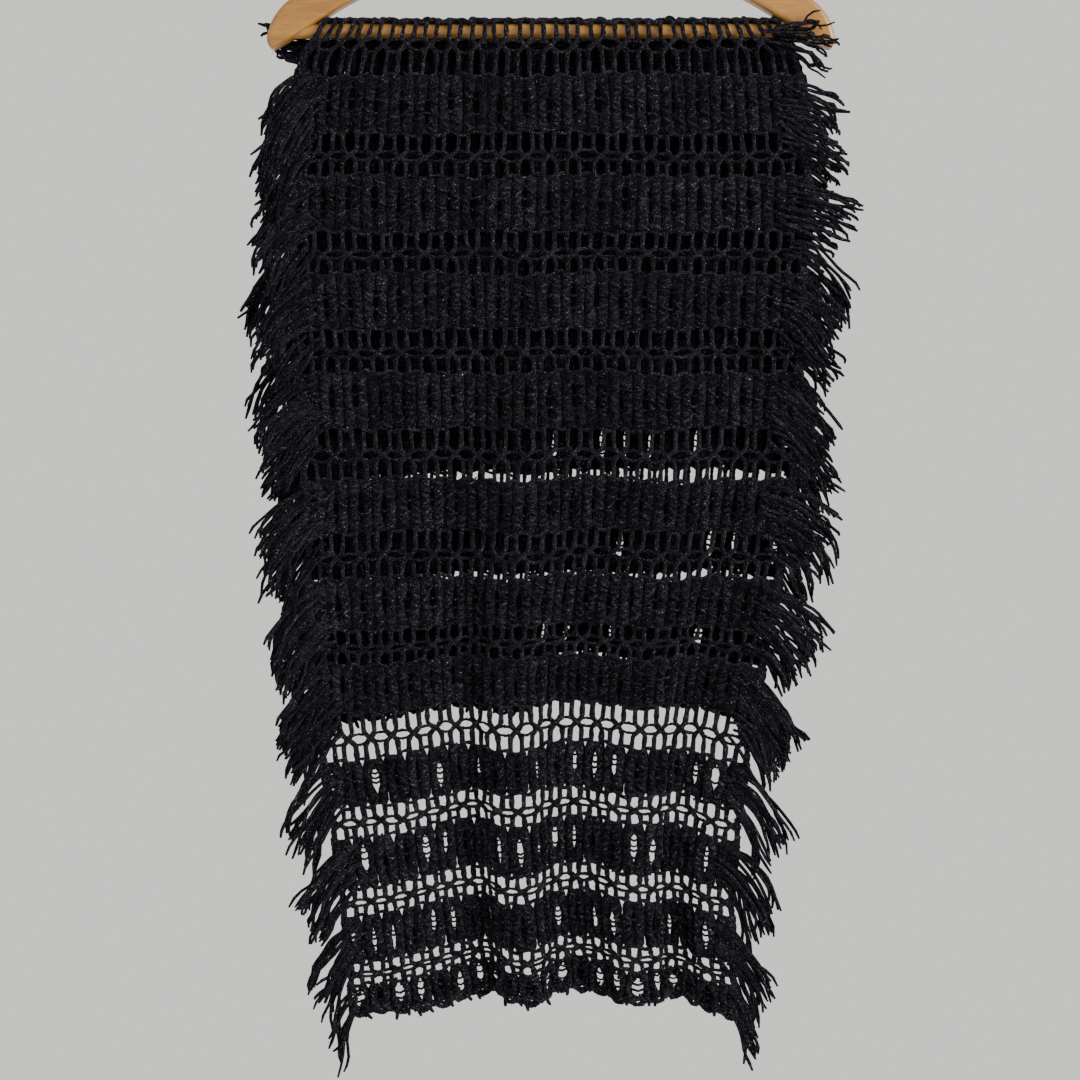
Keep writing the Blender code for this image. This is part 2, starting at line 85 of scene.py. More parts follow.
# Bands of ovals, in millimetres: middle and half height below the bar, then the reach and fall of
# the yarn at the left end and at the right end. The short fall's place only its bunches of yarn.
FRONT_BANDS = [
    (59, 21.5, 28, 60, 30, 14),
    (137, 20.5, 28, 38, 43, 12),
    (213, 20.5, 29, 34, 27, 30),
    (291, 20.5, 34, 34, 31, 34),
    (373, 19.5, 34, 42, 37, 22),
    (451, 19, 29, 42, 42, 30),
    (517, 18, 27, 40, 32, 50),
    (590, 17.5, 25, 50, 33, 50),
    (650.5, 18, 24, 44, 26, 50),
    (709, 17, 23, 46, 29, 48),
    (755.5, 10, 10, 44, 13, 42),
]
BACK_BANDS = [
    (10, 19, 40, -14, 0, 0),
    (93.5, 21.5, 28, 40, 34, 14),
    (173.5, 21, 42, 50, 40, 48),
    (251, 20.5, 36, 55, 30, 24),
    (320.5, 19, 28, 45, 40, 44),
    (382, 18.5, 33, 42, 34, 52),
    (447.5, 18, 26, 52, 35, 50),
    (515, 18, 24, 50, 28, 58),
]
HALF_OF_FULL_BAND = 11  # a band with less than this half height is the one at the hem
FLIPPED_BUNCH = (6, 16, 0, 0, 31, -12)  # thrown over the right tip of the hanger
TOP_BUNCH = (42, 14, 27, 44, 0, 0)  # one more at the left, just under the bar

# The short fall's ovals, in millimetres: middle and half height, and how much lower their left end hangs
BACK_OVALS = [
    (10, 19, 0), (93.5, 21.5, 0), (173.5, 21, 0), (251, 20.5, 0), (322, 20, 8), (406, 19.5, 5),
    (479, 17.5, 7), (523, 10, 6),
]
FOLD_OVALS = (-58.0, -9.0)  # its first ovals reach over the bar, from here to here along the cloth

# Stretches of the cloth that are a piece each: name, CAD node, and how many bands there are up to its
# end, from the short fall's hem
STRETCHES = [
    ("back_rows_low", "back_fall", 4),
    ("back_rows_high", "back_fall", 8),
    ("front_rows_high", "front_fall", 12),
    ("front_rows_middle", "front_fall", 16),
    ("front_rows_low", "front_fall", 19),
]

GRID_COLUMNS = 8 * REPEATS
GRID_STEP = 0.002
GRID_MARGIN = 0.02  # past both hems


def add_object(name, data):
    """Add an object to the scene."""
    thing = bpy.data.objects.new(name, data)
    bpy.context.scene.collection.objects.link(thing)
    return thing


def unit(vectors):
    """Scale vectors to a length of 1."""
    return vectors / np.maximum(np.linalg.norm(vectors, axis=-1, keepdims=True), 1e-12)


def running_sum(steps):
    """Sum each row from 0 on."""
    return np.concatenate([np.zeros((len(steps), 1)), np.cumsum(steps, axis=1)], axis=1)


def read_curve(keys, values, at):
    """Read a smooth curve through a table, as the part does."""
    at = np.clip(at, keys[0], keys[-1])
    place = np.clip(np.searchsorted(keys, at, side="right") - 1, 0, len(keys) - 2)
    number = np.arange(len(keys))
    low = np.maximum(number - 1, 0)
    high = np.minimum(number + 1, len(keys) - 1)
    slopes = (values[high] - values[low]) / (keys[high] - keys[low])
    span = keys[place + 1] - keys[place]
    t = (at - keys[place]) / span
    start = (2 * t**3 - 3 * t**2 + 1) * values[place] + (t**3 - 2 * t**2 + t) * span * slopes[place]
    end = (3 * t**2 - 2 * t**3) * values[place + 1] + (t**3 - t**2) * span * slopes[place + 1]
    return start + end


class Cloth:
    """The inner face of the shawl as a grid: along 0 is the front of the bar, and below it is more."""

    def __init__(self):
        self.start = -(TURN_LENGTH + BACK_LENGTH + GRID_MARGIN)
        rows = int((FRONT_LENGTH + GRID_MARGIN - self.start) / GRID_STEP) + 2
        along = self.start + GRID_STEP * np.arange(rows)
        turned = np.clip(-along / TURN_LENGTH, 0.0, 1.0) * math.pi
        drop = np.where(along > 0, along, np.where(turned < math.pi, 0.0, -along - TURN_LENGTH))
        side = np.where(along > 0, -1.0, np.where(turned < math.pi, -np.cos(turned), 1.0))
        rise = TURN_RADIUS * np.sin(turned)
        shares = np.linspace(0.0, 1.0, GRID_COLUMNS + 1)
        near = read_curve(FOLD_KEYS, FOLD_NEAR, shares)
        growth = np.clip(drop / FRONT_LENGTH, 0.0, 1.0) ** FOLD_GROWTH
        depth = growth[:, None] * near[None, :]
        slope = np.diff(depth, axis=1) * FOLD_DEPTH / CLOTH_WIDTH * GRID_COLUMNS
        run = running_sum(np.sqrt(np.maximum(1.0 - slope**2, STEEPEST**2)))
        run /= run[:, -1:]
        edges = (EDGE_LEFT, EDGE_RIGHT)
        left, right = [read_curve(EDGE_KEYS, edge, drop - rise)[:, None] for edge in edges]
        low = np.maximum(drop - rise, GATHERED)
        free_left, free_right = [read_curve(EDGE_KEYS, edge, low)[:, None] for edge in edges]
        across = free_left + (free_right - free_left) * run
        across = across + (left - free_left) * (1 - run) ** BUNCHED + (right - free_right) * run**BUNCHED
        away = side[:, None] * TURN_RADIUS - FOLD_DEPTH * depth
        height = rise[:, None] - BAR_DROP - drop[:, None] - FOLD_DROOP * depth
        arch = ARCH * np.clip((drop - ARCH_DROP) / ARCH_SPAN, 0.0, ARCH_MOST)
        height = height + arch[:, None] * np.sin(math.pi * run**ARCH_SKEW)
        self.points = np.stack([across, away, height], axis=-1)
        down = np.gradient(self.points, axis=0)
        over = np.gradient(self.points, axis=1)
        self.normals = unit(np.cross(down, over))

    def put(self, repeat, along, lift):
        """Give points on the cloth: repeats from its left edge, metres along it and off its inner face."""
        share = np.clip(repeat / REPEATS, 0.0, 1.0)
        column = share * GRID_COLUMNS
        row = (along - self.start) / GRID_STEP
        i = np.clip(np.floor(row).astype(int), 0, len(self.points) - 2)
        j = np.clip(np.floor(column).astype(int), 0, GRID_COLUMNS - 1)
        v = (row - i)[..., None]
        u = (column - j)[..., None]

        def read(grid):
            upper = grid[i, j] * (1 - u) + grid[i, j + 1] * u
            lower = grid[i + 1, j] * (1 - u) + grid[i + 1, j + 1] * u
            return upper * (1 - v) + lower * v

        places = read(self.points) + unit(read(self.normals)) * np.asarray(lift)[..., None]
        places[..., 0] += (repeat / REPEATS - share) * CLOTH_WIDTH
        return places


LOOSE_PITCH = 0.017  # of the two plies of a strand
THREAD_PITCH = 0.02
EDGE_PITCH = 0.012
HAIR_HIGHLIGHT = 1.6  # painted highlight: how much lighter a loose fibre is drawn than the yarn, for the light it catches
ASKEW = np.array([0.31, 0.87, 0.39])  # a direction that no strand runs in
MAP_SCALE = 100  # the strands' map has a unit for each centimetre of their length
PHASE = 0.05  # most that a strand's plies and its map are shifted along it


class Strands:
    """Collects swept strands of yarn, and makes one mesh of them."""

    def __init__(self):
        self.points, self.faces, self.maps, self.shades_and_tones = [], [], [], []
        self.count = 0

    def sweep(self, path, radius, sides, facing=None, flat=1.0, lobes=0.0, pitch=LOOSE_PITCH, tone=1.0):
        """Add closed tubes: path is tubes x rings x 3. Facing normals, a tube is flattened that way; lobes
        give its section two plies that turn once in a pitch; tone makes it lighter or darker, as painted
        shade or painted highlight in some places and as random tone in others."""
        tubes, rings = path.shape[:2]
        radius = np.broadcast_to(radius, (tubes, rings))
        tangent = unit(np.gradient(path, axis=1))
        across = np.empty_like(path)
        across[:, 0] = unit(np.cross(tangent[:, 0], ASKEW))
        for ring in range(1, rings):
            last = across[:, ring - 1]
            here = tangent[:, ring]
            across[:, ring] = unit(last - here * (last * here).sum(-1, keepdims=True))
        if facing is not None:
            across = unit(np.cross(tangent, facing))
        up = np.cross(tangent, across) * flat
        steps = np.linalg.norm(np.diff(path, axis=1), axis=-1)
        length = running_sum(steps) + draw.uniform(0, PHASE, (tubes, 1))
        turns = 2 * math.pi * np.arange(sides) / sides
        turned = turns + (2 * math.pi / pitch * length * (lobes > 0))[..., None]
        circle = across[:, :, None] * np.cos(turned)[..., None] + up[:, :, None] * np.sin(turned)[..., None]
        reach = radius[:, :, None] * (1 + lobes * np.cos(2 * turns))
        self.points.append((path[:, :, None] + circle * reach[..., None]).reshape(-1, 3))
        self.shades_and_tones.append(np.repeat(np.broadcast_to(tone, (tubes, rings)).ravel(), sides))
        length = length * MAP_SCALE
        index = self.count + np.arange(tubes * rings * sides).reshape(tubes, rings, sides)
        beside = np.roll(index, -1, axis=2)
        quads = np.stack([index[:, :-1], index[:, 1:], beside[:, 1:], beside[:, :-1]], axis=-1)
        self.faces.append(quads.reshape(-1, 4))
        around = np.arange(sides) / sides
        here = np.broadcast_to(around, (tubes, rings - 1, sides))
        upper = np.broadcast_to(length[:, :-1, None], here.shape)
        lower = np.broadcast_to(length[:, 1:, None], here.shape)
        step = 1 / sides
        corners = [(here, upper), (here, lower), (here + step, lower), (here + step, upper)]
        self.maps.append(np.stack([np.stack(pair, axis=-1) for pair in corners], axis=-2).reshape(-1, 2))
        for ends, turn, at in ((index[:, 0], 1, length[:, 0]), (index[:, -1], -1, length[:, -1])):
            self.faces.append(ends[:, ::turn].reshape(-1, sides))
            pair = [np.broadcast_to(around, ends.shape), np.broadcast_to(at[:, None], ends.shape)]
            self.maps.append(np.stack(pair, axis=-1).reshape(-1, 2))
        self.count += tubes * rings * sides

    def hairs(self, roots, aims, thickness):
        """Add loose fibres as thin closed spikes."""
        level = unit(np.cross(aims, ASKEW))
        upright = unit(np.cross(aims, level))
        corners = []
        for turn in (0.0, 2 * math.pi / 3, 4 * math.pi / 3):
            corners.append(roots + (level * math.cos(turn) + upright * math.sin(turn)) * thickness)
        corners.append(roots + aims)
        self.points.append(np.stack(corners, axis=1).reshape(-1, 3))
        # Loose fibres are painted lighter: a painted highlight.
        self.shades_and_tones.append(np.full(4 * len(roots), HAIR_HIGHLIGHT))
        index = self.count + 4 * np.arange(len(roots))[:, None]
        for three in ((0, 2, 1), (0, 1, 3), (1, 2, 3), (2, 0, 3)):
            self.faces.append(index + np.array(three))
            self.maps.append(np.zeros((3 * len(roots), 2)))
        self.count += 4 * len(roots)

    def finish(self, name):
        """Make the mesh object."""
        mesh = bpy.data.meshes.new(name)
        faces = [face for block in self.faces for face in block.tolist()]
        mesh.from_pydata(np.concatenate(self.points).tolist(), [], faces)
        layer = mesh.uv_layers.new(name="strand")
        layer.data.foreach_set("uv", np.concatenate(self.maps).astype(np.float32).ravel())
        # The tone attribute scales the yarn's colour: painted shade in grooves, cores and closed slots,
        # painted highlight on loose fibres and bar tops, random tone elsewhere.
        shades_and_tones = mesh.attributes.new("tone", "FLOAT", "POINT")
        shades_and_tones.data.foreach_set("value", np.concatenate(self.shades_and_tones).astype(np.float32))
        mesh.shade_smooth()
        mesh.materials.append(yarn)
        thing = add_object(name, mesh)
        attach(thing, "root")
        return thing


cloth = Cloth()

# The stitches. Across is counted in repeats, with an oval at every half, and along in metres.
REPEAT = CLOTH_WIDTH / REPEATS
LIFT = 2.0 * MM  # of the yarn's middle off the cloth's inner face
LOBES = 0.13  # how far the two plies stand out, as a share of a strand's radius

# Radii of the yarn
THREAD = 1.85 * MM  # in the open rows
CHAIN = 1.65 * MM  # in the chains on a band's edges
ARC = 1.35 * MM  # in the arcs between crossings
KNOT = 1.3 * MM  # round a crossing
BORDER = 1.25 * MM  # in the chains round every oval
RUNG = 1.25 * MM  # in the loops and bars across it
SELVEDGE = THREAD * 0.7  # in the side edges
HEM_NUB = np.array([1.3, 1.5, 1.4, 1.6, 1.45, 0.9]) * MM  # along a nub under the hem

# The open rows
SHORT_ROWS = 0.043  # lower than this, rows have threads of fewer rings
ALONE = 0.52  # from here down the front hangs alone, and its threads lie wide and flat
THREAD_WIDE = 1.2  # how much wider than round they are
THREAD_FLAT = 0.62  # and their thickness as a share of their width
ATTACH = 0.27  # where the threads leave an oval, from its middle, in repeats
CROSSING = 0.53  # share of the open height where they cross
FOLD_CROSSING = 0.46  # and in the rows over the bar
MEETING = 0.30  # share of the open height over which they turn to cross
PASSING = 1.2 * MM  # how far they part off the cloth where they cross
BULGE = 0.10  # of the two arcs between crossings, as a share of the open height

# The ovals, across in repeats and down in shares of their height
SHORT_BAND = 0.028  # a band lower than this has short ovals, in metres
SHORT_WIDER = 1.9  # how much wider the slot of a short oval is
SHORT_TALLER = 1.3  # and how much taller
SHUT = 0.45  # share of the ovals that are closed in the middle, below the short fall
SHINING = 0.5  # and at the right in the short fall's lower bands, where light shows
SHINING_BANDS = (1, 2, 3)  # counted from its hem
SLOTS = (0.07, 0.16)  # half width of a slot
CLOSED_SLOT = 0.75  # that of a closed one, against an open one
SLOT_SPAN = 0.26  # half height of a slot
RUNGS = (0.16, 0.28, 0.40, 0.52, 0.64, 0.76, 0.87)  # where bars cross a slot
BARS = 8  # loops over each half of an oval
SWELL = 0.35  # power that rounds an oval's ends: less is squarer
OPEN_FOOT = 0.38  # half width of an oval at its ends
CLOSED_FOOT = 0.49  # and where two layers hang
ASIDE = 0.27  # how far the short fall's ovals slip aside
CORE_FLAT = 0.5  # thickness of an oval's soft core, as a share of its width
BORDER_SHADE = 0.38  # painted shade: how dark the chains round an oval are drawn, the soft core, and the dark sheet in a closed slot
CORE_SHADE = 0.6
SLOT_SHADE = 0.12
SLOT_SHADE_FLAT = 0.22

# The hem
SCALLOP = 6.4 * MM  # depth of the arcs under an oval's foot
HEM_ARCS = ((0.46, 1.9 * MM), (0.24, 1.6 * MM))  # half width of each in repeats, and its radius
NUBS = (0.5, 0.28, -0.25)  # where nubs hang, in repeats from an oval's middle: 0.5 is between two


def dense_bands():
    """Give the top and bottom of every band of ovals along the cloth, from one hem to the other."""
    back = [(-(TURN_LENGTH + (m + h) * MM), -(TURN_LENGTH + (m - h) * MM)) for m, h, _ in BACK_OVALS]
    back[0] = (FOLD_OVALS[0] * MM, FOLD_OVALS[1] * MM)
    front = [((m - h) * MM, (m + h) * MM) for m, h, *_ in FRONT_BANDS]
    return back[::-1] + front


def wander(count, amount):
    """Give small seeded offsets."""
    return draw.normal(0.0, amount, count)


class EdgeOfBand:
    """Where the threads meet one edge of a band of ovals: two places in every repeat."""

    def __init__(self, along, aside=0.0, lower_left=0.0):
        middles = np.arange(REPEATS) + 0.5
        middles = middles + aside * np.clip(np.minimum(middles, REPEATS - middles) / 3, 0.0, 1.0)
        sway = 1.3 * MM * np.sin(middles * 0.7 + draw.uniform(0, 6))
        self.middle = middles + np.clip(wander(REPEATS, 0.035), -0.08, 0.08)
        self.across = self.middle[:, None] + np.array([-ATTACH, ATTACH])
        self.across += np.clip(wander((REPEATS, 2), 0.02), -0.05, 0.05)
        self.along = along + sway + wander(REPEATS, 0.5 * MM)
        self.along -= lower_left * np.clip(1.15 - 1.8 * middles / REPEATS, 0.0, 1.0)


def blend(start, end, share):
    """Blend two arrays of one value for each strand along the strand."""
    return start[:, None] * (1 - share) + end[:, None] * share


def uneven(radius, tubes, rings, amount=0.09):
    """Give radii that differ from strand to strand and along each."""
    radius = radius * draw.uniform(0.9, 1.1, (tubes, 1))
    return radius * draw.uniform(1 - amount, 1 + amount, (tubes, rings))


def lay_open_rows(net, upper, lower, places, crossing):
    """Lay the threads between two bands: they cross under every oval, and arcs join the crossings."""
    height = lower.along - upper.along
    rings = 13 if height.mean() < SHORT_ROWS else 18
    near = crossing + MEETING * np.array([-0.5, -0.33, -0.16, 0.0, 0.16, 0.33, 0.5])
    t = np.concatenate([[0.0, 0.14, 0.27], near, [0.80, 0.90, 1.0]])
    t = np.interp(np.linspace(0, len(t) - 1, rings), np.arange(len(t)), t)
    swing = np.cos(math.pi * np.clip((t - crossing) / MEETING + 0.5, 0.0, 1.0))
    middle_across = (upper.middle + lower.middle) / 2 + np.clip(wander(REPEATS, 0.03), -0.07, 0.07)
    middle_along = upper.along + height * (crossing + wander(REPEATS, 0.012))
    for number, side in enumerate((-1, 1)):
        outer = np.where(t < crossing, upper.across[:, number, None], lower.across[:, 1 - number, None])
        weight = np.abs(swing)
        across = outer * weight + middle_across[:, None] * (1 - weight)
        bow = 0.03 * np.sin(2 * math.pi * t + draw.uniform(0, 6, (REPEATS, 1)))
        across = across + bow * np.sin(math.pi * t)
        along = upper.along[:, None] + height[:, None] * (-0.06 + 1.12 * t)
        along = along + (middle_along - upper.along - height * crossing)[:, None] * np.sin(math.pi * t)
        lift = LIFT + side * PASSING * np.exp(-(((t - crossing) / 0.12) ** 2))
        lift = lift + 0.25 * MM * np.sin(5 * t + draw.uniform(0, 6, (REPEATS, 1)))
        path = cloth.put(across, along, lift)
        wide, flat = (THREAD_WIDE, THREAD_FLAT) if upper.along.mean() > ALONE else (1.0, 1.0)
        thick = uneven(THREAD * wide, REPEATS, rings)
        normals = path - cloth.put(across, along, lift - 1 * MM)
        net.sweep(path, thick, 6, facing=normals, flat=flat, lobes=LOBES, pitch=THREAD_PITCH)
        places.append(path)
    ends = np.concatenate([[0.06], middle_across, [REPEATS - 0.06]])
    levels = np.concatenate([middle_along[:1], middle_along, middle_along[-1:]])
    tall = np.concatenate([height[:1], height])
    x = np.linspace(0.0, 1.0, 7)
    for side in (-1, 1):
        across = blend(ends[:-1], ends[1:], x)
        bulge = BULGE * tall * draw.uniform(0.8, 1.25, REPEATS + 1)
        along = blend(levels[:-1], levels[1:], x) + side * bulge[:, None] * np.sin(math.pi * x) ** 0.7
        lift = LIFT + 0.7 * MM * np.cos(2 * math.pi * x) + 0 * across
        path = cloth.put(across, along, lift)
        net.sweep(path, uneven(ARC, REPEATS + 1, len(x)), 5, lobes=LOBES)
        places.append(path)
    turns = np.linspace(0.0, 2.2 * math.pi, 8)
    across = middle_across[:, None] + 0.11 * np.cos(turns)
    along = middle_along[:, None] + 1.5 * MM * np.sin(turns) + 0.5 * MM * (turns / turns[-1] - 0.5)
    lift = LIFT + 1.5 * MM * np.sin(turns + 0.6) + 0 * across
    net.sweep(cloth.put(across, along, lift), KNOT, 4)


def lay_ovals(net, puffs, upper, lower, places, way, double, shut):
    """Lay one band of ovals: each half is a soft core between two chains, and bars run over it."""
    height = (lower.along - upper.along)[:, None]
    centre = (upper.middle + lower.middle) / 2
    between = np.concatenate([[0.0], (centre[:-1] + centre[1:]) / 2, [REPEATS]])
    short = height.mean() < SHORT_BAND
    closed = draw.uniform(0, 1, REPEATS) < shut
    slot = draw.uniform(*SLOTS, REPEATS) * (SHORT_WIDER if short else 1)
    slot = (slot * np.where(closed, CLOSED_SLOT, 1.0))[:, None]
    heart = draw.uniform(0.4, 0.6, (REPEATS, 1))
    span = SLOT_SPAN * (SHORT_TALLER if short else 1)
    glow = draw.uniform(0.7, 1.35, (REPEATS, 1))

    def opening(levels):
        """Give how open a slot is at each level, from 0 to 1."""
        return np.exp(-(((levels - heart) / span) ** 4))

    def spread(number, levels):
        """Give the inner and outer edge of half 0 or 1 of an oval at each level, from its middle line."""
        swell = np.sin(math.pi * levels) ** SWELL
        inner = (slot + 0.04) * opening(levels) - 0.005
        outer = np.abs(between[number : number + REPEATS] - centre)[:, None] * swell
        return inner, outer + (CLOSED_FOOT if double else OPEN_FOOT) * (1 - swell)

    def lay(half, across, levels, lift):
        """Give points of one half of every oval."""
        middle = upper.middle[:, None] * (1 - levels) + lower.middle[:, None] * levels
        return cloth.put(middle + half * across, upper.along[:, None] + height * levels, lift)

    t = np.linspace(0.0, 1.0, 13)
    s = np.linspace(0.0, 1.0, 8)
    x = np.linspace(0.0, 1.0, 5)
    for number, side in enumerate((-1, 1)):
        inner, outer = spread(number, t)
        for place, edge in enumerate((inner + 0.03, outer - (0.015 if double else 0.035))):
            weave = math.pi * (np.arange(len(t)) * 0.67 + place) + draw.uniform(0, 1, (REPEATS, 1))
            lift = LIFT - 0.5 * MM + 0.5 * MM * np.cos(weave)
            path = lay(side, edge + 0.02 * np.sin(weave), t * 1.06 - 0.03, lift)
            # The chains round each oval are painted darker: painted shade in the grooves between ovals.
            puffs.sweep(path, uneven(BORDER, REPEATS, len(t), 0.14), 4, tone=BORDER_SHADE)
        inner, outer = spread(number, s)
        middle = (inner + outer) / 2
        path = lay(side, middle, s * 0.98 + 0.01, LIFT + 0.2 * MM + 0 * inner)
        normals = path - lay(side, middle, s * 0.98 + 0.01, LIFT - 1 * MM + 0 * inner)
        thick = REPEAT * (outer - inner) / 2 * draw.uniform(0.9, 1.0, (REPEATS, len(s)))
        # The core is painted darker, as painted shade under the bars, times a random tone for each oval.
        net.sweep(path, thick, 7, facing=normals, flat=CORE_FLAT, tone=CORE_SHADE * glow)
        places.append(path + normals * 2.2)
        for level in np.linspace(0.06, 0.94, BARS):
            inner, outer = spread(number, np.array([level]))
            swell = math.sin(math.pi * level) ** SWELL
            across = inner + 0.02 + (outer - inner - 0.06) * x
            slope = draw.uniform(1.0, 7.0, (REPEATS, 1)) * np.sign(wander((REPEATS, 1), 1.0)) * MM / height
            at = level + wander((REPEATS, 1), 0.03) + slope * (x - 0.5)
            at = at + way * draw.uniform(0.6, 2.6, (REPEATS, 1)) * MM / height * np.sin(math.pi * x)
            dome = LIFT - 0.3 * MM + (0.8 + 2.8 * swell) * MM * np.sin(math.pi * x) ** 0.8
            path = lay(side, across, at, dome + wander((REPEATS, 1), 0.5 * MM))
            # The bars' tone is painted: darker at their ends, where they dip into the grooves, and lighter
            # over the top of their dome, as painted shade and painted highlight, times a random tone.
            tone = glow * draw.uniform(0.75, 1.45, (REPEATS, 1)) * (0.35 + 0.85 * np.sin(math.pi * x))
            puffs.sweep(path, uneven(RUNG, REPEATS, len(x), 0.25), 3, tone=tone)
    x = np.linspace(-1.0, 1.0, 3)
    for place, level in enumerate(RUNGS):
        spare = place % 2 == 1
        keep = (draw.uniform(0, 1, REPEATS) > 0.12) & ~(closed & spare) & (not (short and spare))
        across = (slot * opening(level) + 0.08) * x
        at = level + wander((REPEATS, 1), 0.015) + way * (0.9 - 1.5 * x**2) * MM / height
        lift = LIFT - 0.3 * MM + 0.5 * MM * (1 - x**2) + wander((REPEATS, 1), 0.2 * MM)
        path = lay(1, across, at, lift)[keep]
        puffs.sweep(path, RUNG * draw.uniform(0.65, 0.95, (len(path), 1)), 3)
    # Behind each closed slot lies a flat, very dark sheet: painted shade that stands for the dark inside of
    # the slot.
    t = np.linspace(0.0, 1.0, 6)
    still = np.zeros((REPEATS, len(t)))
    path = lay(1, still, t, still + 0.9 * MM)[closed]
    normals = path - lay(1, still, t, still)[closed]
    thick = (np.maximum(slot + 0.07, 0.1) * REPEAT + still)[closed]
    puffs.sweep(path, thick, 4, facing=normals, flat=SLOT_SHADE_FLAT, tone=SLOT_SHADE)


def lay_edge_chain(net, edge, way, weight):
    """Lay the thick wavy chain on one edge of a band: it steps away from the band between two ovals."""
    across = np.linspace(0.04, REPEATS - 0.04, 7 * REPEATS)
    at = np.interp(across, edge.middle, edge.along)
    wave = 1.5 * MM * (1 + np.cos(2 * math.pi * across)) - 0.6 * MM
    along = at + way * wave + wander(len(across), 0.15 * MM)
    lift = LIFT + 0.5 * MM * np.sin(across * 2 * math.pi * 1.5)
    thick = CHAIN * weight * (1 + 0.15 * np.sin(across * 2 * math.pi * 3))
    net.sweep(cloth.put(across, along, lift)[None], thick, 4)


def lay_hem(net, edge, way):
    """Lay the hem under the last ovals: two arcs round each oval's foot, and short nubs."""
    x = np.linspace(-1.0, 1.0, 9)
    for size, thick in HEM_ARCS:
        across = edge.middle[:, None] + size * x
        depth = SCALLOP * (size / HEM_ARCS[0][0]) ** 0.5 * draw.uniform(0.75, 1.2, (REPEATS, 1))
        along = edge.along[:, None] + way * (depth * (1 - x**2) ** 0.5 - 1.6 * MM)
        path = cloth.put(across, along, LIFT + 0.5 * MM * np.cos(5 * x) + 0 * across)
        net.sweep(path, uneven(thick, len(path), len(x)), 5, lobes=LOBES)
    y = np.linspace(0.0, 1.0, 6)
    for place in NUBS:
        between = place == NUBS[0]
        keep = draw.uniform(0, 1, REPEATS) < (0.9 if between else 0.4)
        across = (edge.middle + place)[:, None] + wander((REPEATS, 1), 0.13) * y**2
        across = np.clip(across, 0.03, REPEATS - 0.03)
        root = (-3.0 if between else 0.0) * MM
        along = edge.along[:, None] + way * (root + draw.uniform(6, 9.5, (REPEATS, 1)) * MM * y)
        lift = LIFT + wander((REPEATS, 1), 0.8 * MM) * y
        path = cloth.put(across, along, lift)[keep]
        net.sweep(path, HEM_NUB, 5)


def lay_selvedge(net, start, stop, gaps):
    """Lay the chains along both side edges of a stretch, drawn in where rows are open."""
    along = np.linspace(start, stop, int((stop - start) / (2.4 * MM)))
    drawn = np.zeros_like(along)
    for top, bottom in gaps:
        drawn += np.sin(math.pi * np.clip((along - top) / (bottom - top), 0.0, 1.0))
    for way, place in ((1, 0.05), (-1, REPEATS - 0.05)):
        for strand in range(2):
            sway = 0.03 * np.sin(along * 900 + 2 * strand)
            across = place + way * (0.17 * drawn * (0.75 + 0.5 * strand) + 0.07 * strand) + sway
            lift = LIFT + 0.3 * MM * np.sin(along * 1400 + strand)
            path = cloth.put(across, along, lift)[None]
            net.sweep(path, uneven(SELVEDGE, 1, len(along)), 6, lobes=LOBES, pitch=EDGE_PITCH)


ROW_HAIRS = 6  # loose fibres on each strand of the rows
LOW_HAIRS = 12  # of the lowest rows, which light shows behind
FRINGE_HAIRS = 5
HAIR_LENGTHS = (3.0 * MM, 8.5 * MM)
HAIR = 0.14 * MM  # its radius at the root


def fuzz_on(fuzz, places, each):
    """Put loose fibres on strands, most of them sticking out sideways and off the cloth."""
    for path in places:
        count = int(len(path) * each)
        which = draw.integers(0, len(path), count)
        at = draw.uniform(0.02, 0.98, count) * (path.shape[1] - 1)
        low = np.floor(at).astype(int)
        part = (at - low)[:, None]
        roots = path[which, low] * (1 - part) + path[which, low + 1] * part
        tangent = unit(path[which, low + 1] - path[which, low])
        aims = draw.normal(0, 1, (count, 3))
        aims -= 0.75 * tangent * (aims * tangent).sum(-1, keepdims=True)
        fuzz.hairs(roots, unit(aims) * draw.uniform(*HAIR_LENGTHS, (count, 1)), HAIR)


def node_of(tree, kind, where, **settings):
    """Add a shader node."""
    node = tree.nodes.new(kind)
    node.location = where
    for key, value in settings.items():
        setattr(node, key, value)
    return node


def set_inputs(node, **values):
    """Set a node's inputs by name, with spaces written as underscores."""
    for key, value in values.items():
        node.inputs[key.replace("_", " ")].default_value = value


def ramp(tree, factor, where, stops):
    """Add a colour ramp."""
    node = node_of(tree, "ShaderNodeValToRGB", where)
    while len(node.color_ramp.elements) < len(stops):
        node.color_ramp.elements.new(0.5)
    for element, (position, colour) in zip(node.color_ramp.elements, stops):
        element.position = position
        element.color = (*colour, 1.0)
    tree.links.new(factor, node.inputs["Fac"])
    return node.outputs["Color"]


def noise(tree, vector, where, **settings):
    """Add a noise texture."""
    node = node_of(tree, "ShaderNodeTexNoise", where)
    set_inputs(node, **settings)
    tree.links.new(vector, node.inputs["Vector"])
    return node.outputs["Fac"]


def stretched(tree, vector, where, scale):
    """Scale coordinates by axis."""
    node = node_of(tree, "ShaderNodeMapping", where)
    node.inputs["Scale"].default_value = scale
    tree.links.new(vector, node.inputs["Vector"])
    return node.outputs["Vector"]


def calculate(tree, operation, where, first, second, third=None):
    """Add a math node: an input is a number or a socket."""
    node = node_of(tree, "ShaderNodeMath", where, operation=operation)
    for socket, value in zip(node.inputs, (first, second, third)):
        if isinstance(value, float):
            socket.default_value = value
        elif value is not None:
            tree.links.new(value, socket)
    return node.outputs[0]


def bumped(tree, shader, height, where, strength, distance):
    """Bump a shader by a height."""
    node = node_of(tree, "ShaderNodeBump", where)
    set_inputs(node, Strength=strength, Distance=distance)
    tree.links.new(height, node.inputs["Height"])
    tree.links.new(node.outputs["Normal"], shader.inputs["Normal"])


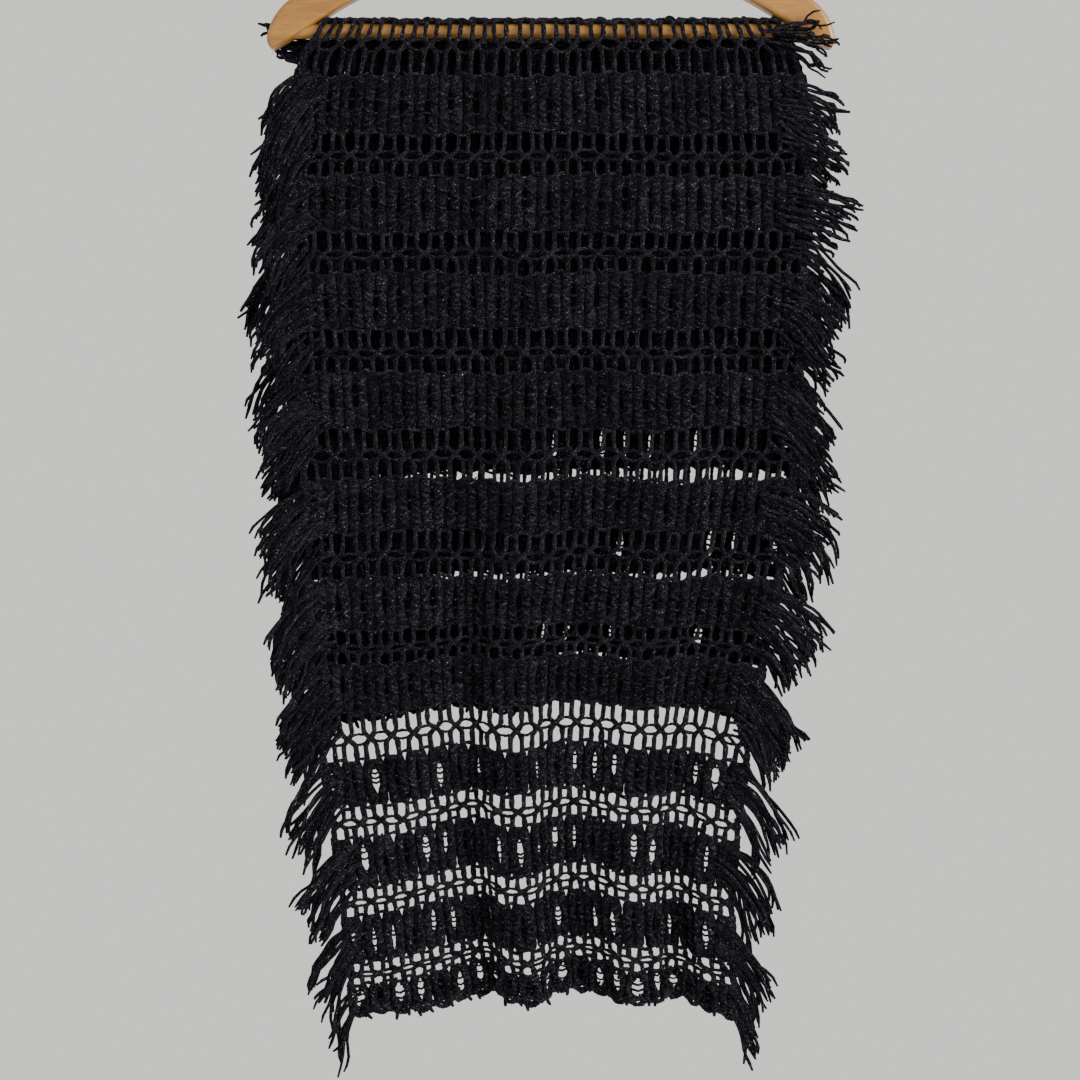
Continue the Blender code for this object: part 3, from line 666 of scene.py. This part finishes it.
def start_material(name):
    """Make an empty node material with a Principled shader."""
    material = bpy.data.materials.new(name)
    material.use_nodes = True
    return material, material.node_tree, material.node_tree.nodes["Principled BSDF"]


# Colours, each with its place on a ramp
YARN_TONES = [
    (0.36, (0.0015, 0.0014, 0.0031)),
    (0.52, (0.0064, 0.0058, 0.0096)),
    (0.68, (0.0215, 0.0195, 0.0255)),
]
# Pale specks painted into the yarn's colour as glints
GLINT_COLOUR = (0.20, 0.19, 0.20)
WOOD_TONES = [(0.25, (0.18, 0.062, 0.006)), (0.5, (0.30, 0.131, 0.017)), (0.78, (0.40, 0.20, 0.033))]
WIRE_TONES = [(0.3, (0.50, 0.50, 0.49)), (0.7, (0.70, 0.70, 0.69))]


def yarn_material():
    """Black yarn: fine plies across each strand, tone that drifts, pale specks painted in as glints, colour
    scaled by each strand's tone, which carries painted shade and painted highlight, and a dusty sheen.
    """
    material, tree, shader = start_material("black_yarn")
    link = tree.links.new
    strand = node_of(tree, "ShaderNodeUVMap", (-1400, 0), uv_map="strand")
    split = node_of(tree, "ShaderNodeSeparateXYZ", (-1200, 0))
    link(strand.outputs["UV"], split.inputs[0])
    along = calculate(tree, "MULTIPLY", (-1000, -60), split.outputs["Y"], 2.2)
    turned = calculate(tree, "MULTIPLY_ADD", (-850, 60), split.outputs["X"], 3.0, along)
    plies = calculate(tree, "PINGPONG", (-700, 60), turned, 0.5)
    place = node_of(tree, "ShaderNodeTexCoord", (-1400, -300)).outputs["Object"]
    fibre = noise(tree, place, (-900, -250), Scale=2600.0, Detail=3.0, Roughness=0.7)
    drift = noise(tree, place, (-900, -500), Scale=90.0, Detail=7.0, Roughness=0.85)
    # Painted glints: a fine noise picks out pale specks in the yarn's colour
    glint_noise = noise(tree, place, (-900, -750), Scale=1100.0, Detail=2.0, Roughness=0.6)
    tone = ramp(tree, drift, (-650, -500), YARN_TONES)
    pale = ramp(tree, glint_noise, (-650, -750), [(0.62, (0.0, 0.0, 0.0)), (0.72, (1.0, 1.0, 1.0))])
    mixed = node_of(tree, "ShaderNodeMix", (-380, -500), data_type="RGBA")
    link(pale, mixed.inputs["Factor"])
    link(tone, mixed.inputs["A"])
    mixed.inputs["B"].default_value = (*GLINT_COLOUR, 1.0)
    # The strands' tone attribute scales the colour: painted shade and painted highlight in places, random
    # tone elsewhere.
    shades_and_tones = node_of(tree, "ShaderNodeAttribute", (-380, -750), attribute_name="tone")
    shaded_and_toned = node_of(tree, "ShaderNodeVectorMath", (-180, -600), operation="SCALE")
    link(mixed.outputs["Result"], shaded_and_toned.inputs[0])
    link(shades_and_tones.outputs["Fac"], shaded_and_toned.inputs["Scale"])
    link(shaded_and_toned.outputs["Vector"], shader.inputs["Base Color"])
    height = calculate(tree, "MULTIPLY_ADD", (-500, 0), fibre, 0.8, plies)
    bumped(tree, shader, height, (-250, -100), 0.85, 0.0004)
    set_inputs(shader, Roughness=0.88, Sheen_Weight=0.05, Sheen_Roughness=0.35)
    set_inputs(shader, Sheen_Tint=(0.72, 0.70, 0.78, 1.0), Specular_IOR_Level=0.03)
    return material


def wood_material():
    """Honey wood with grain along X, fine pores and satin lacquer."""
    material, tree, shader = start_material("honey_wood")
    place = node_of(tree, "ShaderNodeTexCoord", (-1300, 0)).outputs["Object"]
    coarse = stretched(tree, place, (-1100, 0), (9.0, 110.0, 75.0))
    grain = noise(tree, coarse, (-880, 100), Scale=1.0, Detail=7.0, Roughness=0.62, Distortion=0.8)
    fine = stretched(tree, place, (-1100, -300), (60.0, 1500.0, 1100.0))
    pores = noise(tree, fine, (-880, -300), Scale=1.0, Detail=4.0, Roughness=0.7)
    tone = ramp(tree, grain, (-620, 100), WOOD_TONES)
    dark = ramp(tree, pores, (-620, -300), [(0.35, (0.45, 0.45, 0.45)), (0.5, (1.0, 1.0, 1.0))])
    mixed = node_of(tree, "ShaderNodeMix", (-330, 50), data_type="RGBA", blend_type="MULTIPLY")
    mixed.inputs["Factor"].default_value = 0.45
    tree.links.new(tone, mixed.inputs["A"])
    tree.links.new(dark, mixed.inputs["B"])
    tree.links.new(mixed.outputs["Result"], shader.inputs["Base Color"])
    bumped(tree, shader, pores, (-330, -300), 0.25, 0.0002)
    set_inputs(shader, Roughness=0.42, Coat_Weight=0.35, Coat_Roughness=0.28)
    return material


def wire_material():
    """Bright drawn steel wire with dull patches."""
    material, tree, shader = start_material("drawn_wire")
    place = node_of(tree, "ShaderNodeTexCoord", (-1100, 0)).outputs["Object"]
    patches = noise(tree, place, (-850, 0), Scale=340.0, Detail=5.0, Roughness=0.65)
    rough = node_of(tree, "ShaderNodeMapRange", (-550, 0))
    set_inputs(rough, To_Min=0.18, To_Max=0.42)
    tree.links.new(patches, rough.inputs["Value"])
    tree.links.new(rough.outputs["Result"], shader.inputs["Roughness"])
    tone = ramp(tree, patches, (-550, 300), WIRE_TONES)
    tree.links.new(tone, shader.inputs["Base Color"])
    bumped(tree, shader, patches, (-300, -250), 0.15, 0.0001)
    set_inputs(shader, Metallic=1.0)
    return material


yarn = yarn_material()
wood = wood_material()
wire = wire_material()


def make_cloth():
    """Lay the whole shawl, in stretches that are a piece each with their ovals as another."""
    bands = dense_bands()
    last_back = len(BACK_BANDS) - 1
    aside = ASIDE * np.clip((last_back - np.arange(len(bands))) / 3, 0.0, 1.0)
    tilts = [tilt * MM for _, _, tilt in BACK_OVALS[::-1]] + [0.0] * len(FRONT_BANDS)
    edges = []
    for band, slip, tilt in zip(bands, aside, tilts):
        edges.append([EdgeOfBand(along, slip, tilt) for along in band])
    fuzz = {"back_fall": Strands(), "front_fall": Strands()}
    made = []
    first = 0
    for name, node, last in STRETCHES:
        net, puffs = Strands(), Strands()
        places, gaps = [], []
        start = bands[first][0] if first == 0 else bands[first - 1][1]
        for number in range(first, last):
            upper, lower = edges[number]
            way = -1 if node == "back_fall" else 1
            double = bands[number][0] < BACK_LENGTH
            shut = np.full(REPEATS, 1.0 if double else SHUT)
            if number in SHINING_BANDS:
                shut[REPEATS // 2 :] = SHINING
            lay_ovals(net, puffs, upper, lower, places, way, double, shut)
            lay_edge_chain(net, upper, -1, 1.0)
            lay_edge_chain(net, lower, 1, 1.35 if number == last_back else 1.0)
            if number > 0:
                crossing = FOLD_CROSSING if number == len(BACK_BANDS) else CROSSING
                lay_open_rows(net, edges[number - 1][1], upper, places, crossing)
                gaps.append((bands[number - 1][1], bands[number][0]))
        if first == 0:
            lay_hem(net, edges[0][0], -1)
        if last == len(bands):
            lay_hem(net, edges[-1][1], 1)
        lay_selvedge(net, start, bands[last - 1][1], gaps)
        fuzz_on(fuzz[node], places, LOW_HAIRS if name == "front_rows_low" else ROW_HAIRS)
        rows = net.finish(name)
        ovals = puffs.finish(name.replace("rows", "ovals"))
        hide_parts(node)
        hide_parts(node)
        made.append((rows, ovals, bands[last - 1][1] - start))
        first = last
    return made, fuzz


# Fringe
YARNS = 23  # in a bunch
MORE_LEFT = 5  # and so many more at the left
FEWER_YARNS = 13  # in the short bunches between bands
LAST_SHORT = 560  # down to where there are short ones, in millimetres below the bar
SHORT_DROP = 1.1  # how far below its band a short bunch is, against the band's half height
SHORT_LEFT = 0.95  # size of a short bunch against a whole one, at the left
SHORT_RIGHT = 0.72
YARN_RINGS = 11
YARN = 1.35 * MM  # its radius
FINGERS = 6  # that the tips of a bunch cling to
ROOT_SPREAD = 1.6  # of the roots along a band's end, against the solid's locks
ROOT_INSET = 1.3  # repeats in from the edge
HEM_INSET = 0.7  # and at the hem
STEEP = 0.4  # how much further down a yarn ends for starting further in
CURL = (2.0 * MM, 1.0 * MM, 1.8 * MM)  # how far a yarn's waves reach along X, Y and Z
LEFT_CURL = 1.25  # how much more it curls at the left
FLIPPED_CURL = 2.0  # and in the bunch over the hanger's right tip
FLIPPED_YARN = 0.75  # its yarns' radius against the others'

# Yarn of one bunch from top to bottom: root as a share of the band's half height, then reach and fall
# as shares of the bunch's
LOCKS = [(0.50, 1.0, 0.90), (0.22, 0.90, 1.02), (-0.05, 0.68, 1.0), (-0.30, 0.45, 1.0), (-0.50, 0.20, 1.05)]
FLIPPED_LOCKS = [(0.25, 0.80, 1.3), (0.06, 1.0, 0.1), (-0.16, 0.85, -1.0), (-0.38, 0.5, -1.6)]
FORWARD = 4.5 * MM  # how far the bunches at the bar stand off the cloth, to pass the arms


def lay_bunch(net, band, side, end, forward, locks, places, yarns=YARNS):
    """Lay one bunch of yarns: they leave the end of a band, lean out and hang, and cling in fingers."""
    drop, half, reach, fall = MM * np.array([*band[:2], *(band[2:4] if end < 0 else band[4:])])
    number = np.linspace(0.0, 1.0, yarns) + wander(yarns, 0.04)
    finger = np.minimum((number.clip(0, 1) * FINGERS).astype(int), FINGERS - 1)
    tip = (finger + 0.5) / FINGERS + wander(yarns, 0.045)
    knots = np.linspace(0, 1, len(locks))
    roots, reaches, falls = zip(*locks)
    root_share = np.interp(number, knots, roots)
    out = reach * np.interp(tip, knots, reaches) * draw.uniform(0.8, 1.12, FINGERS)[finger]
    down = fall * np.interp(tip, knots, falls) * draw.uniform(0.85, 1.1, FINGERS)[finger]
    out = out * draw.uniform(0.78, 1.06, yarns)
    down = down * draw.uniform(0.85, 1.08, yarns)
    bend = (draw.uniform(1.0, 1.6, FINGERS)[finger] + wander(yarns, 0.1))[:, None]
    t = np.linspace(0.0, 1.0, YARN_RINGS)
    at = drop - ROOT_SPREAD * root_share * half
    along = at if side < 0 else -(TURN_LENGTH + at)
    inset = draw.uniform(0.1, ROOT_INSET if band[1] >= HALF_OF_FULL_BAND else HEM_INSET, yarns)
    place = inset if end < 0 else REPEATS - inset
    start = cloth.put(place, along, draw.uniform(3.0, 6.0, yarns) * MM)
    path = np.repeat(start[:, None], YARN_RINGS, axis=1)
    inset = inset * REPEAT
    path[..., 0] += end * (out + inset + 2 * MM)[:, None] * (1 - (1 - t) ** bend)
    path[..., 2] -= (down + STEEP * inset)[:, None] * t**bend
    spread = forward * np.minimum(t * 3, 1) + wander((yarns, 1), 1.9 * MM) * t
    path[..., 1] += side * spread
    flipped = locks is FLIPPED_LOCKS
    curl = FLIPPED_CURL if flipped else LEFT_CURL if end < 0 else 1.0
    for axis, amount in enumerate(CURL):
        speed = draw.uniform(5, 13, (yarns, 1))
        turn = draw.uniform(0, 6, (yarns, 1))
        size = amount * (1.0 if axis == 1 else curl)
        path[..., axis] += size * t**1.5 * (np.sin(speed * t + turn) - np.sin(turn))
    ends = 1 - 0.35 * np.maximum(t - 0.9, 0) / 0.1
    thick = uneven(YARN * (FLIPPED_YARN if flipped else 1.0), yarns, YARN_RINGS, 0.1)
    net.sweep(path, thick * ends, 5, tone=draw.uniform(0.35, 1.2, (yarns, 1)))
    places.append(path)


def make_fringe(fuzz):
    """Lay the four fringes."""
    made = {}
    for side, bands in ((-1, FRONT_BANDS), (1, BACK_BANDS)):
        for end in (-1, 1):
            fall = "front" if side < 0 else "back"
            name = fall + ("_left" if end < 0 else "_right")
            net, places = Strands(), []
            for band in bands:
                if end > 0 and band[4] == 0:
                    continue
                at_fold = band is BACK_BANDS[0]
                more = MORE_LEFT if end < 0 else 0
                yarns = YARNS + more if band[1] >= HALF_OF_FULL_BAND else YARNS // 2
                lay_bunch(net, band, side, end, FORWARD if at_fold else 0.0, LOCKS, places, yarns)
                if band[0] < LAST_SHORT and not at_fold:
                    drop = band[0] + SHORT_DROP * band[1]
                    share = SHORT_LEFT if end < 0 else SHORT_RIGHT
                    short = (drop, band[1], *[share * size for size in band[2:]])
                    lay_bunch(net, short, side, end, 0.0, LOCKS, places, FEWER_YARNS + more)
            if side < 0 and end < 0:
                lay_bunch(net, TOP_BUNCH, side, end, 0.0, LOCKS, places)
            elif side < 0:
                lay_bunch(net, FLIPPED_BUNCH, side, end, FORWARD, FLIPPED_LOCKS, places)
            fuzz_on(fuzz[fall + "_fall"], places, FRINGE_HAIRS)
            made[name] = net.finish(name + "_yarns")
            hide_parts(name + "_fringe")
    return made


def object_of(name, mesh, material, node, sharp):
    """Make an object that stands for a node of the hanger, smooth but for edges over so many degrees."""
    mesh.shade_smooth()
    mesh.set_sharp_from_angle(angle=math.radians(sharp))
    mesh.materials.clear()
    mesh.materials.append(material)
    thing = add_object(name, mesh)
    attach(thing, "root")
    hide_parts(node)


def add_spline(curve, places):
    """Add a smooth spline to a curve."""
    spline = curve.splines.new("BEZIER")
    spline.bezier_points.add(len(places) - 1)
    for point, place in zip(spline.bezier_points, places):
        point.co = place
        point.handle_left_type = point.handle_right_type = "AUTO"
    return spline


def mesh_of_curve(curve, turn=(0.0, 0.0, 0.0)):
    """Make a mesh of a curve."""
    source = add_object("source", curve)
    source.rotation_euler = turn
    bpy.context.view_layer.update()
    mesh = bpy.data.meshes.new_from_object(source.evaluated_get(bpy.context.evaluated_depsgraph_get()))
    mesh.transform(source.matrix_world)
    bpy.data.objects.remove(source)
    return mesh


# Hanger
ARM_THICKNESS = 0.017
ARM_ROUNDING = 0.004
# Its right half from the neck to the tip and back, in millimetres off the middle and over the bar's axis
ARM_OUTLINE = [
    (12.5, 121), (14, 112), (22, 102), (50, 96), (100, 78), (150, 53), (190, 33), (205, 24), (215.5, 13),
    (221.5, 0), (222.5, -9), (219, -14), (214, -12.5), (180, 8.5), (152.5, 24.8), (100, 50), (50, 69),
    (0, 76),
]


def make_arms():
    """Make the wooden arms with finely rounded edges."""
    curve = bpy.data.curves.new("arms", "CURVE")
    curve.dimensions = "2D"
    curve.fill_mode = "BOTH"
    curve.extrude = ARM_THICKNESS / 2 - ARM_ROUNDING
    curve.bevel_depth = ARM_ROUNDING
    curve.bevel_resolution = 4
    curve.offset = -ARM_ROUNDING
    curve.resolution_u = 7
    right = [(across * MM, height * MM) for across, height in ARM_OUTLINE]
    left = [(-across, height) for across, height in reversed(right[:-1])]
    spline = add_spline(curve, [(across, height - BAR_DROP, 0.0) for across, height in right + left])
    spline.use_cyclic_u = True
    mesh = mesh_of_curve(curve, (math.pi / 2, 0.0, 0.0))
    object_of("arms_wood", mesh, wood, "hanger_arms", 35)


def make_bar():
    """Make the turned bar, faintly uneven along its length."""
    sides, rings = 40, 60
    x = np.linspace(-BAR_HALF_LENGTH, BAR_HALF_LENGTH, rings)
    turn = 2 * math.pi * np.arange(sides) / sides
    radius = BAR_RADIUS * (1 - 0.008 * (1 + np.sin(x * 90) * np.cos(x * 37)))
    radius[0] = radius[-1] = BAR_RADIUS * 0.93
    across = np.repeat(x[:, None], sides, axis=1)
    away, height = radius[:, None] * np.cos(turn), radius[:, None] * np.sin(turn) - BAR_DROP
    points = np.stack([across, away, height], axis=-1)
    index = np.arange(rings * sides).reshape(rings, sides)
    beside = np.roll(index, -1, axis=1)
    faces = np.stack([index[:-1], beside[:-1], beside[1:], index[1:]], axis=-1).reshape(-1, 4).tolist()
    faces += [index[0, ::-1].tolist(), index[-1].tolist()]
    mesh = bpy.data.meshes.new("bar_wood")
    mesh.from_pydata(points.reshape(-1, 3).tolist(), [], faces)
    object_of("bar_wood", mesh, wood, "hanger_bar", 40)


WIRE_RADIUS = 0.00175
HOOK_INNER_RADIUS = 0.020
HOOK_FOOT_ANGLE = -55.0  # degrees round the bend, where the wire leaves it for the shank
HOOK_TIP_ANGLE = 188.0  # where the open tip ends
SHANK_DEPTH = 0.022  # of the bore in the neck
SHANK_RISE = 0.004  # of the straight shank above the neck
SWEEP = 0.3  # how far across the wire is, half way from the shank to the bend


def make_hook():
    """Make the wire hook, with a rounded tip."""
    neck_top = ARM_OUTLINE[0][1] * MM - BAR_DROP
    radius = HOOK_INNER_RADIUS + WIRE_RADIUS
    angles = np.radians(np.linspace(HOOK_FOOT_ANGLE, HOOK_TIP_ANGLE, 15))
    bend = np.stack([radius * np.cos(angles), radius * np.sin(angles) - HOOK_INNER_RADIUS], axis=-1)
    route = [(0.0, neck_top - SHANK_DEPTH + SHANK_RISE), (0.0, neck_top), (0.0, neck_top + SHANK_RISE)]
    route.append((SWEEP * bend[0][0], (bend[0][1] + neck_top + SHANK_RISE) / 2))
    route += [tuple(place) for place in bend]
    curve = bpy.data.curves.new("hook", "CURVE")
    curve.dimensions = "3D"
    curve.bevel_depth = WIRE_RADIUS
    curve.bevel_resolution = 5
    curve.resolution_u = 6
    curve.use_fill_caps = True
    add_spline(curve, [(across, 0.0, height) for across, height in route])
    object_of("hook_wire", mesh_of_curve(curve), wire, "hook", 50)


make_bar()
make_arms()
make_hook()
(back_low, back_high, front_high, front_middle, front_low), fuzz = make_cloth()
fringe = make_fringe(fuzz)
hair = {node: strands.finish(node.replace("fall", "fuzz")) for node, strands in fuzz.items()}


def declare(stretch, fall=None):
    """List the pieces that go with a stretch: its ovals, and in the highest the fringe and fuzz. The list
    is not used.
    """
    rows, ovals, length = stretch
    pieces = [ovals]
    if fall:
        pieces += [fringe[fall + "_left"], fringe[fall + "_right"], hair[fall + "_fall"]]


declare(front_high, "front")
declare(front_middle)
declare(front_low)
declare(back_high, "back")
declare(back_low)

# Studio: a pale floor below, an even pale world, and soft light from the right in front
PIXEL = 0.000786  # of the photograph, at the shawl
PHOTO_SIDE = 1080  # in pixels
VIEW_CENTRE = Vector((-8.6 * MM, 0.0, -0.5958))
VIEW_DISTANCE = 1.9
SENSOR = 36.0
FLOOR_LEVEL = -1.6
FLOOR_HALF_SIDE = 2.45
FLOOR_COLOUR = (0.95, 0.94, 0.92)
WORLD_COLOUR = (0.97, 0.955, 0.93)
WORLD_STRENGTH = 0.96


def add_light(name, place, size, power, colour):
    """Add a soft square light aimed at the shawl."""
    data = bpy.data.lights.new(name, "AREA")
    data.size, data.energy, data.color = size, power, colour
    light = add_object(name, data)
    light.location = place
    light.rotation_euler = (VIEW_CENTRE - Vector(place)).to_track_quat("-Z", "Y").to_euler()


def make_studio():
    """Add the floor, the world, the lights and the camera."""
    material, _, shader = start_material("pale_floor")
    set_inputs(shader, Base_Color=(*FLOOR_COLOUR, 1.0), Roughness=0.9)
    mesh = bpy.data.meshes.new("floor")
    far, low = FLOOR_HALF_SIDE, FLOOR_LEVEL
    corners = [(-far, -far, low), (far, -far, low), (far, far, low), (-far, far, low)]
    mesh.from_pydata(corners, [], [(0, 1, 2, 3)])
    mesh.materials.append(material)
    add_object("floor", mesh)
    world = bpy.data.worlds.new("studio")
    world.use_nodes = True
    background = world.node_tree.nodes["Background"]
    set_inputs(background, Color=(*WORLD_COLOUR, 1.0), Strength=WORLD_STRENGTH)
    bpy.context.scene.world = world
    add_light("key", (1.7, -1.3, 0.35), 0.7, 70.0, (1.0, 0.97, 0.93))
    add_light("fill", (-1.6, -1.4, -0.2), 1.4, 8.0, (0.93, 0.96, 1.0))
    data = bpy.data.cameras.new("camera")
    data.sensor_width = SENSOR
    data.lens = SENSOR * VIEW_DISTANCE / (PIXEL * PHOTO_SIDE)
    data.clip_end = 50.0
    camera = add_object("camera", data)
    camera.location = VIEW_CENTRE + Vector((0.0, -VIEW_DISTANCE, 0.0))
    camera.rotation_euler = (math.pi / 2, 0.0, 0.0)
    bpy.context.scene.camera = camera


make_studio()
